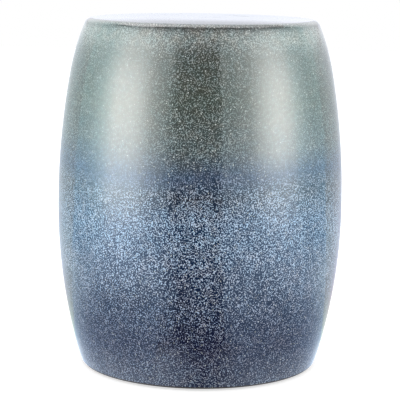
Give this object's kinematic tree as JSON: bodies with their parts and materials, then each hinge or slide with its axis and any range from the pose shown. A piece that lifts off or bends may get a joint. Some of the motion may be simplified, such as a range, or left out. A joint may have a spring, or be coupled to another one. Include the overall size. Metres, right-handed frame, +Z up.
{
  "type": "ceramic garden stool",
  "caption": "Barrel-shaped garden stool of glazed stoneware: closed, slightly crowned seat, hollow body, foot ring with an open middle, and soft pads under the foot.",
  "frame": {"origin": "on the floor, under the middle of the seat", "axes": "+Z up along the axis that the body is turned about; -Y is the side that faces the viewer"},
  "size_m": [0.3752, 0.3752, 0.4595],
  "materials": {
    "glaze": "glossy reactive glaze, grey-green above, speckled blue and navy below",
    "stoneware": "bare fired stoneware, matt buff with iron specks",
    "pad": "soft dark rubber, matt",
    "tape": "thin foam adhesive disc"
  },
  "bodies": {
    "root": {"seat_slab": "stoneware", "barrel_wall": "stoneware", "foot_ring": "stoneware", "glaze_coat": "glaze", "foot_pad_1": "pad", "foot_pad_2": "pad", "foot_pad_3": "pad", "foot_pad_4": "pad", "pad_tape_1": "tape", "pad_tape_2": "tape", "pad_tape_3": "tape", "pad_tape_4": "tape"}
  },
  "joints": []
}
